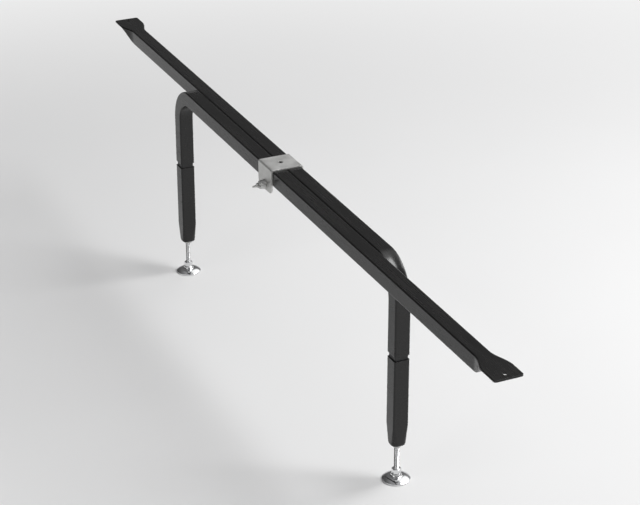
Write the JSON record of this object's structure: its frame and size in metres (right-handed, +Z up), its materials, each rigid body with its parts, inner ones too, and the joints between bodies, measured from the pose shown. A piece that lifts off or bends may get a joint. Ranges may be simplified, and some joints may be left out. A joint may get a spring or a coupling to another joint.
{
  "type": "bed center support rail",
  "caption": "Adjustable bed centre support: paired J-bent square steel tubes with flattened tabs, a wing-nut clamp, plug-on legs and screw glides.",
  "frame": {"origin": "on the floor under the middle of the rail, in the plane between the two tubes", "axes": "+X along the rail towards the front tube's tab, +Y from the front tube to the back tube, +Z up"},
  "size_m": [1.524, 0.0796, 0.3732],
  "materials": {
    "rail_paint": "gloss black",
    "black_plastic": "moulded",
    "zinc_sheet": "satin zinc",
    "zinc_hardware": "bright zinc",
    "chrome": "polished"
  },
  "bodies": {
    "back_rail": {"back_rail_tube": "rail_paint", "back_leg_coupler": "black_plastic"},
    "front_rail": {"front_rail_tube": "rail_paint", "front_leg_coupler": "black_plastic"},
    "clamp": {"clamp_saddle": "zinc_sheet", "clamp_bolt": "zinc_hardware", "clamp_washer": "zinc_hardware"},
    "wing_nut": {"wing_nut": "zinc_hardware"},
    "back_leg": {"back_leg_tube": "rail_paint", "back_leg_plug": "black_plastic", "back_plug_nut": "zinc_hardware"},
    "back_jam_nut": {"back_jam_nut": "zinc_hardware"},
    "back_stem": {"back_glide_stem": "chrome"},
    "back_disc": {"back_glide_disc": "chrome"},
    "front_leg": {"front_leg_tube": "rail_paint", "front_leg_plug": "black_plastic", "front_plug_nut": "zinc_hardware"},
    "front_jam_nut": {"front_jam_nut": "zinc_hardware"},
    "front_stem": {"front_glide_stem": "chrome"},
    "front_disc": {"front_glide_disc": "chrome"}
  },
  "joints": [
    {"name": "width_slide", "type": "slide", "parent": "back_rail", "child": "front_rail", "axis": [1, 0, 0], "range_m": [-0.152, 0.406]},
    {"name": "clamp_slide", "type": "slide", "parent": "back_rail", "child": "clamp", "axis": [1, 0, 0], "range_m": [-0.077, 0.204]},
    {"name": "wing_nut_turn", "type": "hinge", "parent": "clamp", "child": "wing_nut", "pos_m": [0, -0.0298, 0.3401], "axis": [0, 1, 0], "continuous": true},
    {"name": "back_leg_pull", "type": "slide", "parent": "back_rail", "child": "back_leg", "axis": [0, 0, -1], "range_m": [0, 0.04]},
    {"name": "back_jam_nut_turn", "type": "hinge", "parent": "back_leg", "child": "back_jam_nut", "pos_m": [0.399, 0.0128, 0.0615], "axis": [0, 0, 1], "continuous": true},
    {"name": "back_glide_screw", "type": "slide", "parent": "back_leg", "child": "back_stem", "axis": [0, 0, 1], "range_m": [-0.024, 0.036]},
    {"name": "back_disc_turn", "type": "hinge", "parent": "back_stem", "child": "back_disc", "pos_m": [0.399, 0.0128, 0.005], "axis": [0, 0, 1], "continuous": true},
    {"name": "front_leg_pull", "type": "slide", "parent": "front_rail", "child": "front_leg", "axis": [0, 0, -1], "range_m": [0, 0.04]},
    {"name": "front_jam_nut_turn", "type": "hinge", "parent": "front_leg", "child": "front_jam_nut", "pos_m": [-0.399, -0.0128, 0.0615], "axis": [0, 0, 1], "continuous": true},
    {"name": "front_glide_screw", "type": "slide", "parent": "front_leg", "child": "front_stem", "axis": [0, 0, 1], "range_m": [-0.024, 0.036]},
    {"name": "front_disc_turn", "type": "hinge", "parent": "front_stem", "child": "front_disc", "pos_m": [-0.399, -0.0128, 0.005], "axis": [0, 0, 1], "continuous": true}
  ],
  "couplings": [
    {"joint": "clamp_slide", "follows": "width_slide", "ratio": 0.5}
  ]
}
